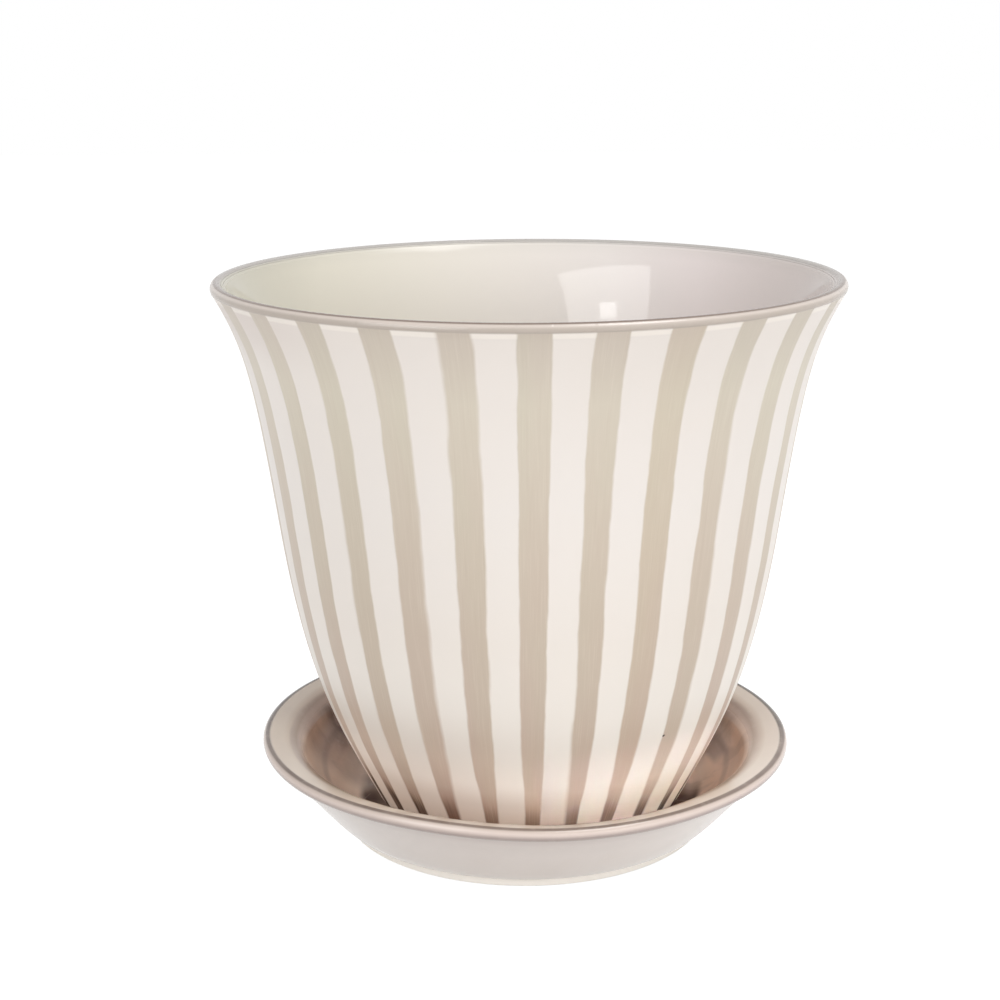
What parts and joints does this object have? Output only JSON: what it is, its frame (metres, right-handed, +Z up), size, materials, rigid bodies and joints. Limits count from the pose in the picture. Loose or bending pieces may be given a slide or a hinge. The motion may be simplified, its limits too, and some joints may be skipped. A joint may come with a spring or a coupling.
{
  "type": "plant pot with saucer",
  "caption": "Bell-shaped glazed ceramic plant pot with a rolled lip and painted stripes, standing in its own round glazed saucer; the pot lifts off.",
  "frame": {"origin": "on the pot's axis, on the surface that the saucer stands on", "axes": "+Z up along the pot's axis; -Y towards the viewer of the picture, +X to the right"},
  "size_m": [0.19, 0.19, 0.1731],
  "materials": {
    "saucer_glaze": "glossy taupe glaze",
    "pot_glaze": "glossy off-white glaze with brushed taupe stripes"
  },
  "bodies": {
    "saucer_body": {"saucer": "saucer_glaze"},
    "pot_body": {"pot": "pot_glaze"}
  },
  "joints": [
    {"name": "pot_lift", "type": "slide", "parent": "saucer_body", "child": "pot_body", "axis": [0, 0, 1], "range_m": [0, 0.06]}
  ]
}
